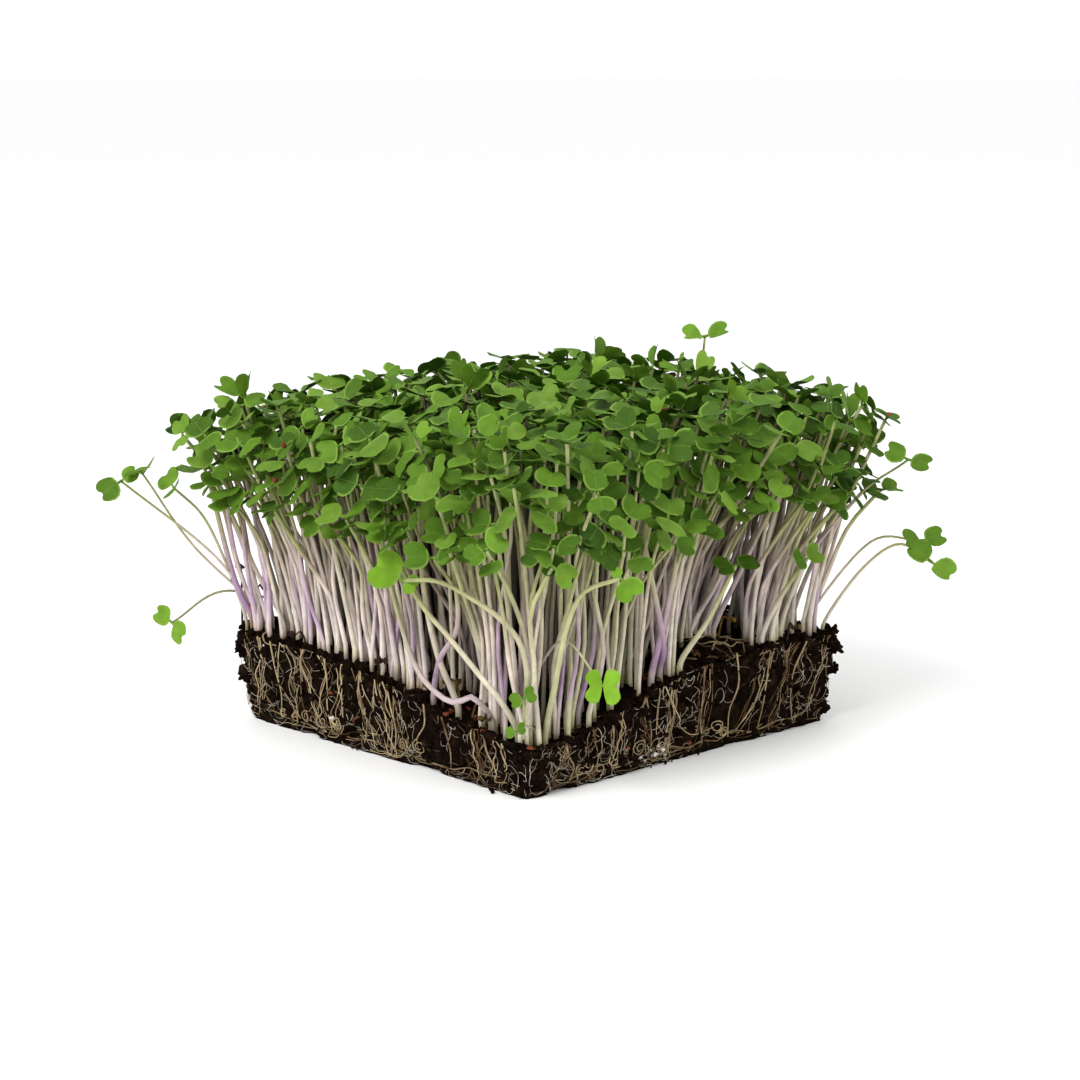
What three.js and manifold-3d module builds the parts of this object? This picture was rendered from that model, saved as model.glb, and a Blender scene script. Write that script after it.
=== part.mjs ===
// A block of kale microgreens lifted out of its growing tray: a slab of dark growing mix, the roots that
// circle its faces, and seedlings sown in twelve close rows. Each seedling is a pale stem under one pair
// of notched seed leaves. Millimetres, +Z up, origin at the middle of the flat underside.

import * as THREE from "three";
import { mergeVertices } from "three/addons/utils/BufferGeometryUtils.js";
import Module from "manifold-3d";

const wasm = await Module();
wasm.setup();

// Driving dimensions.
const SIDE = 122; // the block's side, measured at its top edge
const DRAFT = 3; // each side face leans in by this much at the foot, as the tray's walls do
const DEPTH = 25.5; // depth of the growing mix
const CORNER = 3.5; // radius of the upright corners
const CRUMBLE = 1; // how far the faces are eaten in
// The front corner, where the mix has slumped.
const HOLLOW = { x: 61, y: -53, depth: 12.5, reachX: 52, reachY: 36 };
const MOUND = { x: 45, y: 13, height: 4, reach: 12 }; // and the mix that was pushed up behind it
const BARE = { x: 65, y: 12, reach: 19 }; // ground by the east face where nothing came up

const ROWS = 12;
const PER_ROW = 10;
const PITCH = 11; // between seedlings in a row
const ROW_PITCH = PITCH * Math.sin(Math.PI / 3);
const ROOT_JITTER = { along: 1.4, across: 0.8 };
const SPREAD = 1.2; // the crowns stand this much wider than the roots
const CROWN_SHIFT = 1.6; // the whole canopy leans this far towards +X and +Y
const CROWN_JITTER = 0.9;
const CROWN_HEIGHT = 86; // middle storey of the canopy, at the middle of the block
const STOREY = 6.5; // the canopy has three storeys, so that no leaf crosses its neighbour's
const DOME = 1.5; // how far the canopy falls towards its corners
const BLOCK_REACH = 86; // from the middle to a top corner
const CANOPY_RISE = 0.025; // and how much it rises for each millimetre towards +Y

const STEM = 1.5; // stem thickness
const STEM_GAP = 2.05; // between a stem's top and the middle of its leaf pair
const SOWN = 7; // how deep the seedlings' joined roots run
const RUNNER = { width: 3, height: 1.8 }; // the mat of roots that joins a clump's stems
const DRILL = 4.6; // width of the plain slot that a clump's stems stand in
const DRILL_END = 1.95; // and how far it runs past the last stem
const TIE = 1.1; // thickness of the sprigs that hold a clump's leaves together

const LEAF_REACH = 8.6; // from the crown to a leaf's furthest tip
const LEAF_WIDTH = 9.2;
const LEAF_THICKNESS = 0.75;
const LEAF_RISE = 9; // degrees that a seed leaf rises from the crown
const LEAF_TILT = 8; // the most that a whole pair leans

const ROOT = 1.2; // thickness of a root strand
const ROOT_CLEAR = 0.35; // its gap to the face behind it
const SEAM = 0.08;
const SEED = 5;

const PALETTE = {
  soil: { color: 0x2a1c14, roughness: 0.95, metalness: 0 },
  stem: { color: 0xdcd6c2, roughness: 0.45, metalness: 0 },
  leaf: { color: 0x3f7f2c, roughness: 0.55, metalness: 0 },
  root: { color: 0xb79a68, roughness: 0.8, metalness: 0 },
};

// Seedlings that stray out of the canopy: where their roots stand, the bend of the stem, the crown, the
// way the leaf pair faces, the way its two leaves point, and its size beside a common one.
const STRAYS = [
  {
    name: "left_high",
    row: 0,
    col: 0,
    bend: [-66, -67, 48],
    crown: [-76, -77, 69],
    faces: [-0.5, -0.2, 0.8],
    points: [0.6, -0.8, 0.2],
    size: 0.85,
  },
  {
    name: "left_low",
    row: 1,
    col: 0,
    bend: [-64, -58, 35],
    crown: [-74, -70, 26],
    faces: [0.1, -0.9, -0.2],
    points: [-0.7, -0.3, 0.5],
    size: 0.78,
  },
  {
    name: "right_low",
    row: 11,
    col: 9,
    bend: [64, 66, 50],
    crown: [75, 75, 51],
    faces: [0.6, -0.3, 0.7],
    points: [0.4, 0.8, 0.1],
    size: 0.78,
  },
  {
    name: "right_high",
    row: 9,
    col: 9,
    bend: [65, 56, 62],
    crown: [78, 64, 75],
    faces: [0.5, -0.4, 0.8],
    points: [0.8, 0.4, -0.2],
    size: 0.82,
  },
  {
    name: "top",
    row: 11,
    col: 5,
    bend: [6, 57, 70],
    crown: [7, 60, 103],
    faces: [0.2, -0.4, 0.9],
    points: [0.7, 0.7, 0.2],
    size: 0.85,
  },
  {
    name: "front_low",
    row: 0,
    col: 9,
    bend: [61, -50, 40],
    crown: [72, -46, 30],
    faces: [0.7, -0.7, 0.1],
    points: [0.7, 0.7, 0],
    size: 0.7,
  },
];

const radians = (degrees) => (degrees * Math.PI) / 180;
const clamp = (value, low, high) => Math.min(high, Math.max(low, value));

// A repeatable draw from -1 to 1 for seedling n; each use of it takes its own kind.
function draw(n, kind) {
  const wave = Math.sin(n * 12.9898 + kind * 78.233 + SEED) * 43758.5453;
  return 2 * (wave - Math.floor(wave)) - 1;
}

function solidOf(geometry) {
  const bare = geometry.clone();
  bare.deleteAttribute("normal");
  bare.deleteAttribute("uv");
  const merged = mergeVertices(bare, 1e-4);
  return new wasm.Manifold(
    new wasm.Mesh({
      numProp: 3,
      vertProperties: new Float32Array(merged.attributes.position.array),
      triVerts: new Uint32Array(merged.index.array),
    }),
  );
}

// One body of many, with the slivers of their seams closed up.
function fuse(solids) {
  return solids.reduce((whole, piece) => whole.add(piece)).asOriginal().simplify(SEAM);
}

function meshOf(solid, name, finish) {
  const { vertProperties, triVerts } = solid.getMesh();
  const geometry = new THREE.BufferGeometry();
  geometry.setAttribute("position", new THREE.BufferAttribute(vertProperties, 3));
  geometry.setIndex(new THREE.BufferAttribute(triVerts, 1));
  geometry.computeVertexNormals();
  const mesh = new THREE.Mesh(geometry, new THREE.MeshStandardMaterial(finish));
  mesh.name = name;
  return mesh;
}

// A rod of few sides along a smooth line through the points.
function rod(points, thickness, sides, steps) {
  const section = new THREE.Shape();
  for (let i = 0; i < sides; i++) {
    const angle = (2 * Math.PI * (i + 0.5)) / sides;
    const corner = [(Math.cos(angle) * thickness) / 2, (Math.sin(angle) * thickness) / 2];
    if (i === 0) section.moveTo(...corner);
    else section.lineTo(...corner);
  }
  const extrudePath = new THREE.CatmullRomCurve3(points);
  return solidOf(new THREE.ExtrudeGeometry(section, { steps, extrudePath, bevelEnabled: false }));
}

// The growing mix.
function soilHeight(x, y) {
  const away = Math.hypot((x - HOLLOW.x) / HOLLOW.reachX, (y - HOLLOW.y) / HOLLOW.reachY);
  const near = Math.hypot(x - MOUND.x, y - MOUND.y) / MOUND.reach;
  return DEPTH - HOLLOW.depth * Math.exp(-away * away) + MOUND.height * Math.exp(-near * near);
}

function facePlane(height) {
  return SIDE / 2 - DRAFT * (1 - height / DEPTH);
}

function crumble(x, y, z) {
  const coarse = Math.sin(x * 0.41 + z * 0.6) * Math.sin(y * 0.37 - z * 0.9);
  const fine = Math.sin(x * 1.3 + 2.1) * Math.sin(y * 1.1 + z * 1.7);
  return 0.5 + 0.3 * coarse + 0.2 * fine;
}

function soilBody() {
  const block = new THREE.BoxGeometry(SIDE, SIDE, DEPTH, 9, 9, 2);
  const place = block.attributes.position;
  for (let i = 0; i < place.count; i++) {
    const [x, y] = [place.getX(i), place.getY(i)];
    const up = (place.getZ(i) + DEPTH / 2) / DEPTH;
    const z = up * soilHeight(x, y) + (up === 1 ? crumble(x, y, 0) - 0.5 : 0);
    const straight = SIDE / 2 - CORNER;
    const [cx, cy] = [clamp(x, -straight, straight), clamp(y, -straight, straight)];
    const out = Math.hypot(x - cx, y - cy);
    const rounded = out > CORNER ? CORNER / out : 1;
    const onFace = Math.max(Math.abs(x), Math.abs(y)) > SIDE / 2 - 0.01;
    const eaten = onFace ? CRUMBLE * crumble(x, y, up * DEPTH) : 0;
    const scale = (facePlane(z) - eaten) / (SIDE / 2);
    place.setXYZ(i, (cx + (x - cx) * rounded) * scale, (cy + (y - cy) * rounded) * scale, z);
  }
  return solidOf(block);
}

// How far east a row's seedlings stand, as a share of the full row.
function rowReach(y) {
  const off = Math.abs(y - BARE.y);
  const cut = off < BARE.reach ? Math.sqrt(BARE.reach ** 2 - off ** 2) : 0;
  return Math.min(1, (BARE.x - cut) / (SIDE / 2 - 6));
}

// Where each seedling stands and where its crown is.
function seedlingAt(row, col) {
  const n = row * PER_ROW + col;
  const shift = row % 2 ? PITCH / 4 : -PITCH / 4;
  const line = (row - (ROWS - 1) / 2) * ROW_PITCH;
  const across = (col - (PER_ROW - 1) / 2) * PITCH + shift;
  const standing = across + ROOT_JITTER.along * draw(n, 1);
  const x = standing > 0 ? standing * rowReach(line) : standing;
  const y = line + ROOT_JITTER.across * draw(n, 2);
  const crownX = SPREAD * across + CROWN_SHIFT + CROWN_JITTER * draw(n, 3);
  const crownY = SPREAD * line + CROWN_SHIFT + CROWN_JITTER * draw(n, 4);
  const storey = ((col + (row % 2 ? 2 : 0)) % 3) - 1;
  const fall = DOME * (Math.hypot(crownX, crownY) / BLOCK_REACH) ** 2;
  const crownZ = CROWN_HEIGHT + STOREY * storey - fall + CANOPY_RISE * crownY;
  const stray = STRAYS.find((s) => s.row === row && s.col === col);
  const crown = new THREE.Vector3(...(stray ? stray.crown : [crownX, crownY, crownZ]));
  return { n, crown, root: new THREE.Vector2(x, y), stray };
}

// Clumps: half a row each, whose roots run together in one slot below the surface.
function clumpOf(row, half) {
  const seedlings = [];
  for (let i = 0; i < PER_ROW / 2; i++) seedlings.push(seedlingAt(row, half * (PER_ROW / 2) + i));
  const lowest = Math.min(...seedlings.map((s) => soilHeight(s.root.x, s.root.y)));
  return { seedlings, floor: Math.max(4, lowest - SOWN), line: (row - (ROWS - 1) / 2) * ROW_PITCH };
}

function drillFor(clump) {
  const [west, east] = [clump.seedlings[0].root.x - DRILL_END, clump.seedlings.at(-1).root.x + DRILL_END];
  const slot = new THREE.BoxGeometry(east - west, DRILL, DEPTH);
  return solidOf(slot.translate((west + east) / 2, clump.line, clump.floor + DEPTH / 2));
}

function facing(seedling) {
  if (seedling.stray) return new THREE.Vector3(...seedling.stray.faces).normalize();
  const lean = Math.sin(radians(LEAF_TILT)) * draw(seedling.n, 12);
  const way = Math.PI * draw(seedling.n, 13);
  return new THREE.Vector3(lean * Math.cos(way), lean * Math.sin(way), 1).normalize();
}

function stemLine(seedling, clump) {
  const { n, root, crown, stray } = seedling;
  const foot = new THREE.Vector3(root.x, root.y, clump.floor + 1);
  const collar = new THREE.Vector3(root.x, root.y, soilHeight(root.x, root.y) + 4);
  const top = crown.clone().addScaledVector(facing(seedling), -STEM_GAP);
  if (stray) return [foot, collar, new THREE.Vector3(...stray.bend), top];
  const middle = collar.clone().lerp(top, 0.5);
  middle.x += 1.6 * draw(n, 5) - 0.02 * middle.x;
  middle.y += 1.6 * draw(n, 6) - 0.02 * middle.y;
  return [foot, collar, middle, top];
}

function clumpStems(clump) {
  const [first, last] = [clump.seedlings[0].root.x, clump.seedlings.at(-1).root.x];
  const runner = new THREE.BoxGeometry(last - first + 2, RUNNER.width, RUNNER.height);
  runner.translate((first + last) / 2, clump.line, clump.floor + 0.3 + RUNNER.height / 2);
  const stems = clump.seedlings.map((s) => rod(stemLine(s, clump), STEM * 1.2, 4, s.stray ? 7 : 3));
  return fuse([solidOf(runner), ...stems]);
}

// A pair of seed leaves, flat: two heart shapes joined at the crown, lying along X.
function leafOutline() {
  const half = [
    [0.06, 0.11],
    [0.46, 0.94],
    [1, 0.72],
  ];
  const upper = half.map(([r, w]) => [r * LEAF_REACH, (w * LEAF_WIDTH) / 2]);
  const lower = upper.map(([x, y]) => [x, -y]);
  const right = [...lower, [0.87 * LEAF_REACH, 0], ...upper.reverse()];
  const left = right.map(([x, y]) => [-x, -y]);
  return [...right, ...left].map(([x, y]) => new THREE.Vector2(x, y));
}

function leafPair(n, crown, faces, points, pairSize = 1) {
  const outline = new THREE.Shape(leafOutline());
  const pair = new THREE.ExtrudeGeometry(outline, { depth: LEAF_THICKNESS, bevelEnabled: false });
  const rise = Math.tan(radians(LEAF_RISE));
  const place = pair.attributes.position;
  for (let i = 0; i < place.count; i++) {
    const [x, y] = [place.getX(i), place.getY(i)];
    const along = Math.abs(x) / LEAF_REACH;
    const roll = (x > 0 ? draw(n, 7) : draw(n, 8)) * 0.1 * y * along;
    const size = pairSize * (1 + 0.06 * (x > 0 ? draw(n, 9) : draw(n, 10)));
    const lift = rise * Math.abs(x) * (1.25 - 0.5 * along) + roll;
    place.setXYZ(i, x * size, y * size, place.getZ(i) - LEAF_THICKNESS / 2 + lift);
  }
  const across = new THREE.Vector3().crossVectors(faces, points).normalize();
  const ahead = new THREE.Vector3().crossVectors(across, faces);
  const turn = new THREE.Matrix4().makeBasis(ahead, across, faces).setPosition(crown);
  return solidOf(pair.applyMatrix4(turn));
}

function seedlingLeaves(seedling) {
  const { n, crown, stray } = seedling;
  const heading = Math.PI * draw(n, 11);
  const points = new THREE.Vector3(...(stray ? stray.points : [Math.cos(heading), Math.sin(heading), 0]));
  return leafPair(n, crown, facing(seedling), points, stray?.size);
}

function clumpLeaves(clump) {
  const kept = clump.seedlings.filter((s) => !s.stray);
  const ties = kept.slice(1).map((s, i) => rod([kept[i].crown, s.crown], TIE, 3, 1));
  return fuse([...kept.map(seedlingLeaves), ...ties]);
}

// Roots on a side face: one that circles along the foot, and strands that run down into it.
function onFace(turn, along, height, out) {
  const point = new THREE.Vector3(along, -(facePlane(height) + ROOT_CLEAR + out), height);
  return point.applyAxisAngle(new THREE.Vector3(0, 0, 1), turn);
}

function rootNet(turn, number) {
  const strands = 8;
  const reach = SIDE / 2 - CORNER - 7;
  const circling = [];
  for (let i = 0; i <= 8; i++) {
    const along = reach * (i / 4 - 1);
    circling.push(onFace(turn, along, 3.2 + 0.9 * draw(i, 20 + number), ROOT / 2));
  }
  const pieces = [rod(circling, ROOT, 3, 9)];
  for (let i = 0; i < strands; i++) {
    const along = reach * ((2 * i + 1) / strands - 1) + 2.4 * draw(i, 30 + number);
    const face = onFace(turn, along, DEPTH, 0);
    const top = soilHeight(face.x, face.y) - 1.5;
    const line = [top, 0.65 * top + 1, 0.35 * top + 1.5, 2.8].map((height, k) =>
      onFace(turn, along + 2.2 * draw(4 * i + k, 40 + number), height, ROOT / 2),
    );
    pieces.push(rod(line, ROOT, 3, 3));
  }
  return fuse(pieces);
}

const block = new THREE.Group();
let soil = soilBody();
for (let row = 0; row < ROWS; row++) {
  for (const [half, side] of ["west", "east"].entries()) {
    const clump = clumpOf(row, half);
    const label = String(row + 1).padStart(2, "0") + "_" + side;
    soil = soil.subtract(drillFor(clump));
    block.add(meshOf(clumpStems(clump), "stems_" + label, PALETTE.stem));
    block.add(meshOf(clumpLeaves(clump), "leaves_" + label, PALETTE.leaf));
    for (const s of clump.seedlings.filter((s) => s.stray)) {
      block.add(meshOf(seedlingLeaves(s), "stray_leaves_" + s.stray.name, PALETTE.leaf));
    }
  }
}
block.add(meshOf(soil, "soil", PALETTE.soil));
for (const [number, side] of ["south", "east", "north", "west"].entries()) {
  block.add(meshOf(rootNet((number * Math.PI) / 2, number), "roots_" + side, PALETTE.root));
}

export default block;
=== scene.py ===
"""A block of kale microgreens, lifted out of its growing tray and stood on a pale table."""

import functools
import itertools
from math import atan2, copysign, cos, exp, floor, hypot, pi, radians, sin, sqrt, tan

import bmesh
import bpy
from mathutils import Matrix, Vector, noise


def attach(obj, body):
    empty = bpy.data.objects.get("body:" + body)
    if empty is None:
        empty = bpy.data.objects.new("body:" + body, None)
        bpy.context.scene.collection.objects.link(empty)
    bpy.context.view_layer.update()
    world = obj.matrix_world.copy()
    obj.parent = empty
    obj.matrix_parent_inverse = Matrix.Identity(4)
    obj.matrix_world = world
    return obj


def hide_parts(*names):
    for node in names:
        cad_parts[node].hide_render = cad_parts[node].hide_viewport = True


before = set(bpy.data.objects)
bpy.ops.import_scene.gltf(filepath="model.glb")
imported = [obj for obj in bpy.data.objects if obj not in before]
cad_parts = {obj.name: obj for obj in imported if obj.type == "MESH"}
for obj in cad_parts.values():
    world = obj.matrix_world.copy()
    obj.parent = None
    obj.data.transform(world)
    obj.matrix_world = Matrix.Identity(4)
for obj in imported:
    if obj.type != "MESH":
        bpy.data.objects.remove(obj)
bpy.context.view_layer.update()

# Everything below is worked out in millimetres, and each piece is brought to metres as it is finished.
MM = 0.001
UP = Vector((0, 0, 1))

# The growing mix, in the model's own measures.
SIDE = 122
DRAFT = 3
DEPTH = 25.5
CORNER = 3.5
HOLLOW = {"x": 61, "y": -53, "depth": 12.5, "reach_x": 52, "reach_y": 36}
MOUND = {"x": 45, "y": 13, "height": 4, "reach": 12}
BARE = {"x": 65, "y": 12, "reach": 19}

# The seedlings of the model.
ROWS = 12
PER_ROW = 10
PITCH = 11
ROW_PITCH = PITCH * sin(pi / 3)
ROOT_JITTER = {"along": 1.4, "across": 0.8}
SPREAD = 1.2
CROWN_HEIGHT = 86
CROWN_SHIFT = 1.6
CROWN_JITTER = 0.9
STOREY = 6.5
DOME = 1.5
BLOCK_REACH = 86
CANOPY_RISE = 0.025
LEAF_REACH = 8.6
LEAF_RISE = 9
LEAF_TILT = 8
SEED = 5

# The rest of the stand: how many grow round each seedling of the model, and how far out any root may be.
BETWEEN = 5
EDGE = 57

# The rest keep out of a gap on the south side and of a lane that runs in from the bare place.
GAP = {"x": 25, "y": -60, "reach_x": 14, "reach_y": 18}
LANE = {"x": 61, "y": 14, "heading": 136, "half": 4.6, "long": 62}

# The border's two storeys of shorter seedlings: how many to a side, the lowest crown, how far above it they
# vary, and how far out from the mix the middle of them hangs.
BORDER = [(30, 72, 14, 3.5), (28, 58, 15, 7.5)]

# The numbers of the scattered pieces, which their draws go by.
CRUMBS = range(6000, 9600)
CLODS = range(5000, 5150)
RIM_CLODS = range(5300, 5480)
FALLEN_CRUMBS = range(5200, 5216)
BARK_CHIPS = range(2600, 3080)
PERLITE_GRAINS = range(3100, 3118)
LOOSE_COATS = range(4000, 4110)
FIRST_FILLER = 200
FIRST_BORDER = 9000

# Seedlings that stray out of the canopy, as in the model.
STRAYS = {
    (0, 0): dict(
        node="stray_leaves_left_high", bends=[(-66, -67, 48)],
        crown=(-76, -77, 69), faces=(-0.5, -0.2, 0.8), points=(0.6, -0.8, 0.2), size=0.85, lime=0.35,
    ),
    (1, 0): dict(
        node="stray_leaves_left_low", bends=[(-64, -58, 35)],
        crown=(-74, -70, 26), faces=(0.1, -0.9, -0.2), points=(-0.7, -0.3, 0.5), size=0.78, lime=0.5,
    ),
    (11, 9): dict(
        node="stray_leaves_right_low", bends=[(64, 66, 50)],
        crown=(75, 75, 51), faces=(0.6, -0.3, 0.7), points=(0.4, 0.8, 0.1), size=0.78, lime=0.3,
    ),
    (9, 9): dict(
        node="stray_leaves_right_high", bends=[(65, 56, 62)],
        crown=(78, 64, 75), faces=(0.5, -0.4, 0.8), points=(0.8, 0.4, -0.2), size=0.82, lime=0.2,
    ),
    (11, 5): dict(
        node="stray_leaves_top", bends=[(6, 57, 70)],
        crown=(7, 60, 103), faces=(0.2, -0.4, 0.9), points=(0.7, 0.7, 0.2), size=0.85, lime=0.4,
    ),
    (0, 9): dict(
        node="stray_leaves_front_low", bends=[(61, -50, 40)],
        crown=(72, -46, 30), faces=(0.7, -0.7, 0.1), points=(0.7, 0.7, 0), size=0.76, lime=1.0,
        broad=1.2, notch=0.20, meet=1.75,
    ),
}


def draw(n, kind):
    """A repeatable draw from -1 to 1 for item n; each use of it takes its own kind."""
    wave = sin(n * 12.9898 + kind * 78.233 + SEED) * 43758.5453
    return 2 * (wave - floor(wave)) - 1


def even(n, kind):
    """A repeatable draw from 0 to 1."""
    return 0.5 + 0.5 * draw(n, kind)


def seldom(n, kind):
    """A repeatable draw from 0 to 1 that is small more often than not."""
    return draw(n, kind) ** 2


def toward(angle):
    return Vector((cos(angle), sin(angle), 0))


def turned(angle):
    return Matrix.Rotation(angle, 3, "Z")


def clamp(value, low=0, high=1):
    return min(high, max(low, value))


def soil_height(x, y):
    away = hypot((x - HOLLOW["x"]) / HOLLOW["reach_x"], (y - HOLLOW["y"]) / HOLLOW["reach_y"])
    near = hypot(x - MOUND["x"], y - MOUND["y"]) / MOUND["reach"]
    return DEPTH - HOLLOW["depth"] * exp(-away * away) + MOUND["height"] * exp(-near * near)


def ground(x, y):
    return Vector((x, y, soil_height(x, y)))


def face_plane(height):
    return SIDE / 2 - DRAFT * (1 - height / DEPTH)


def row_reach(y):
    off = abs(y - BARE["y"])
    cut = sqrt(BARE["reach"] ** 2 - off ** 2) if off < BARE["reach"] else 0
    return min(1, (BARE["x"] - cut) / (SIDE / 2 - 6))


# Patterns: small finished shapes that are copied and bent.


def smoothed(bm):
    bmesh.ops.recalc_face_normals(bm, faces=bm.faces)
    for face in bm.faces:
        face.smooth = True
    return bm


def as_mesh(bm, name):
    mesh = bpy.data.meshes.new(name)
    bm.to_mesh(mesh)
    bm.free()
    return mesh


# Kinds of tube: how many sides each has, and how many steps along.
RUNNER = (5, 32)
STRAND = (5, 16)
HAIR = (3, 10)
STRAIGHT_STEM = (6, 10)
BENT_STEM = (7, 24)
WILTED_STEM = (5, 10)


@functools.cache
def tube_pattern(sides, steps):
    """A tube of unit radius, one unit up Z for each step."""
    bm = bmesh.new()
    bmesh.ops.create_circle(bm, cap_ends=True, segments=sides, radius=1)
    for step in range(steps):
        top = [f for f in bm.faces if all(abs(v.co.z - step) < 0.01 for v in f.verts)]
        grown = bmesh.ops.extrude_face_region(bm, geom=top)["geom"]
        bmesh.ops.translate(bm, vec=UP, verts=[g for g in grown if isinstance(g, bmesh.types.BMVert)])
    return as_mesh(smoothed(bm), "tube_%d_%d" % (sides, steps))


BLADE_START = 0.8
BLADE_LENGTH = 7.6
BLADE_WIDTH = 9.2
BLADE_THICKNESS = 0.5
BLADE_SIDES = 18
STALK = {"foot": 0.50, "tip": 0.18, "long": 4.4, "middle": 2.0, "under": 0.2}


def blade_edge(turn):
    """How far the edge of a seed leaf stands from its middle: notched at the tip, hollow at the foot."""
    notch = 0.34 * exp(-((turn / 0.36) ** 2))
    foot = 0.12 * exp(-(((pi - abs(turn)) / 0.5) ** 2))
    return 1.04 - notch - foot


def blade_pattern():
    """One seed leaf lying along X from the crown, and how near each of its points is to the rim.

    Above and below, its blade is a fan of triangles from one middle point to the rim.
    """
    bm = bmesh.new()
    bmesh.ops.create_circle(bm, cap_ends=True, segments=BLADE_SIDES, radius=1)
    bmesh.ops.poke(bm, faces=bm.faces[:])
    for v in bm.verts:
        reach = v.co.length
        turn = atan2(v.co.y, v.co.x)
        # The points stand closer together round the notch.
        turn -= 0.3 * sin(turn)
        reach *= blade_edge(turn)
        v.co.z = 0.5 * BLADE_THICKNESS * max(0, 1 - v.co.length ** 2)
        v.co.x = BLADE_START + BLADE_LENGTH * (0.5 + 0.5 * reach * cos(turn))
        v.co.y = BLADE_WIDTH * 0.5 * reach * sin(turn)
    under = bmesh.ops.duplicate(bm, geom=bm.verts[:] + bm.edges[:] + bm.faces[:])["geom"]
    under_points = [g for g in under if isinstance(g, bmesh.types.BMVert)]
    bmesh.ops.scale(bm, vec=(1, 1, -1), verts=under_points)
    bmesh.ops.remove_doubles(bm, verts=bm.verts, dist=0.01)
    for e in bm.edges:
        e.smooth = max(abs(v.co.z) for v in e.verts) > 0.001
    thick, thin, long = STALK["foot"], STALK["tip"], STALK["long"]
    stalk = bmesh.ops.create_cone(bm, cap_ends=True, segments=5, radius1=thick, radius2=thin, depth=long)
    bmesh.ops.rotate(bm, verts=stalk["verts"], cent=(0, 0, 0), matrix=Matrix.Rotation(pi / 2, 3, "Y"))
    bmesh.ops.translate(bm, verts=stalk["verts"], vec=(STALK["middle"], 0, -STALK["under"]))
    stalk_points = len(stalk["verts"])
    pattern = as_mesh(smoothed(bm), "seed_leaf")
    rims = []
    for v in pattern.vertices:
        x = (v.co.x - BLADE_START) / BLADE_LENGTH * 2 - 1
        y = v.co.y / (BLADE_WIDTH * 0.5)
        rims.append(clamp(hypot(x, y) / blade_edge(atan2(y, x))))
    for i in range(len(rims) - stalk_points, len(rims)):
        rims[i] = 0.0
    return pattern, rims


BLADE, RIMS = blade_pattern()


def grain_pattern(fineness, name, roughness):
    """A small lump with knocked corners, about one unit in radius."""
    bm = bmesh.new()
    bmesh.ops.create_icosphere(bm, subdivisions=fineness, radius=1)
    for v in bm.verts:
        lumps = noise.noise(v.co * 1.7 + Vector((3.1, 1.2, 0.4))) + 0.5 * noise.noise(v.co * 4.1)
        v.co *= 1 + roughness * lumps
    return as_mesh(smoothed(bm), name)


def hull_pattern():
    """Half of a split seed coat: a little open cup with a rolled edge."""
    bm = bmesh.new()
    bmesh.ops.create_icosphere(bm, subdivisions=2, radius=1)
    cut = bm.verts[:] + bm.edges[:] + bm.faces[:]
    bmesh.ops.bisect_plane(bm, geom=cut, plane_co=(0, 0, 0.25), plane_no=(0.2, 0, 1), clear_outer=True)
    bmesh.ops.solidify(bm, geom=bm.faces[:], thickness=0.16)
    return as_mesh(smoothed(bm), "seed_coat")


# Pieces.


def new_piece(*marks):
    """An empty bmesh that carries the named numbers on its points."""
    bm = bmesh.new()
    for name in marks:
        bm.verts.layers.float.new(name)
    return bm


def copy_into(bm, pattern, place, marks=None, each=None):
    """Adds a copy of a pattern, moves each of its points as place says, and marks them."""
    first = len(bm.verts)
    bm.from_mesh(pattern)
    bm.verts.ensure_lookup_table()
    layers = [(bm.verts.layers.float[name], value) for name, value in (marks or {}).items()]
    for i, v in enumerate(bm.verts[first:]):
        for layer, value in layers:
            v[layer] = value
        if each:
            for name, value in each(i, v.co).items():
                v[bm.verts.layers.float[name]] = value
        v.co = place(v.co)


def add_object(name, data):
    thing = bpy.data.objects.new(name, data)
    bpy.context.collection.objects.link(thing)
    return thing


def finish_piece(bm, name, material, replaces=()):
    bmesh.ops.scale(bm, vec=(MM, MM, MM), verts=bm.verts)
    mesh = as_mesh(bm, name)
    mesh.materials.append(material)
    piece = add_object(name, mesh)
    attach(piece, "root")
    if replaces:
        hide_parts(*replaces)


def smooth_line(points, steps):
    """Points at even steps along a smooth line through the given points."""
    through = [Vector(p) for p in points]
    through = [2 * through[0] - through[1], *through, 2 * through[-1] - through[-2]]
    dense = []
    for k in range(len(through) - 3):
        a, b, c, d = through[k : k + 4]
        for j in range(8):
            f = j / 8
            bend = (2 * a - 5 * b + 4 * c - d) * f * f + (3 * b - a - 3 * c + d) * f ** 3
            dense.append(0.5 * (2 * b + (c - a) * f + bend))
    dense.append(through[-2])
    lengths = [0.0]
    for a, b in zip(dense, dense[1:]):
        lengths.append(lengths[-1] + (b - a).length)
    line, k = [], 0
    for i in range(steps + 1):
        want = lengths[-1] * i / steps
        while k < len(dense) - 2 and lengths[k + 1] < want:
            k += 1
        share = (want - lengths[k]) / max(1e-6, lengths[k + 1] - lengths[k])
        line.append(dense[k].lerp(dense[k + 1], clamp(share)))
    return line


def lay_tube(bm, tube, points, radius, marks=None, along=None):
    """Bends a tube along a smooth line; radius is a rule of how far along it is."""
    steps = tube[1]
    line = smooth_line(points, steps)
    sides = []
    side = (line[1] - line[0]).orthogonal().normalized()
    for i in range(steps + 1):
        ahead = (line[min(i + 1, steps)] - line[max(i - 1, 0)]).normalized()
        side = (side - ahead * side.dot(ahead)).normalized()
        sides.append((side, ahead.cross(side)))

    def place(co):
        i = round(co.z)
        u, v = sides[i]
        return line[i] + (u * co.x + v * co.y) * radius(i / steps)

    each = (lambda i, co: {along: co.z / steps}) if along else None
    copy_into(bm, tube_pattern(*tube), place, marks, each)


# Materials.


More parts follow.
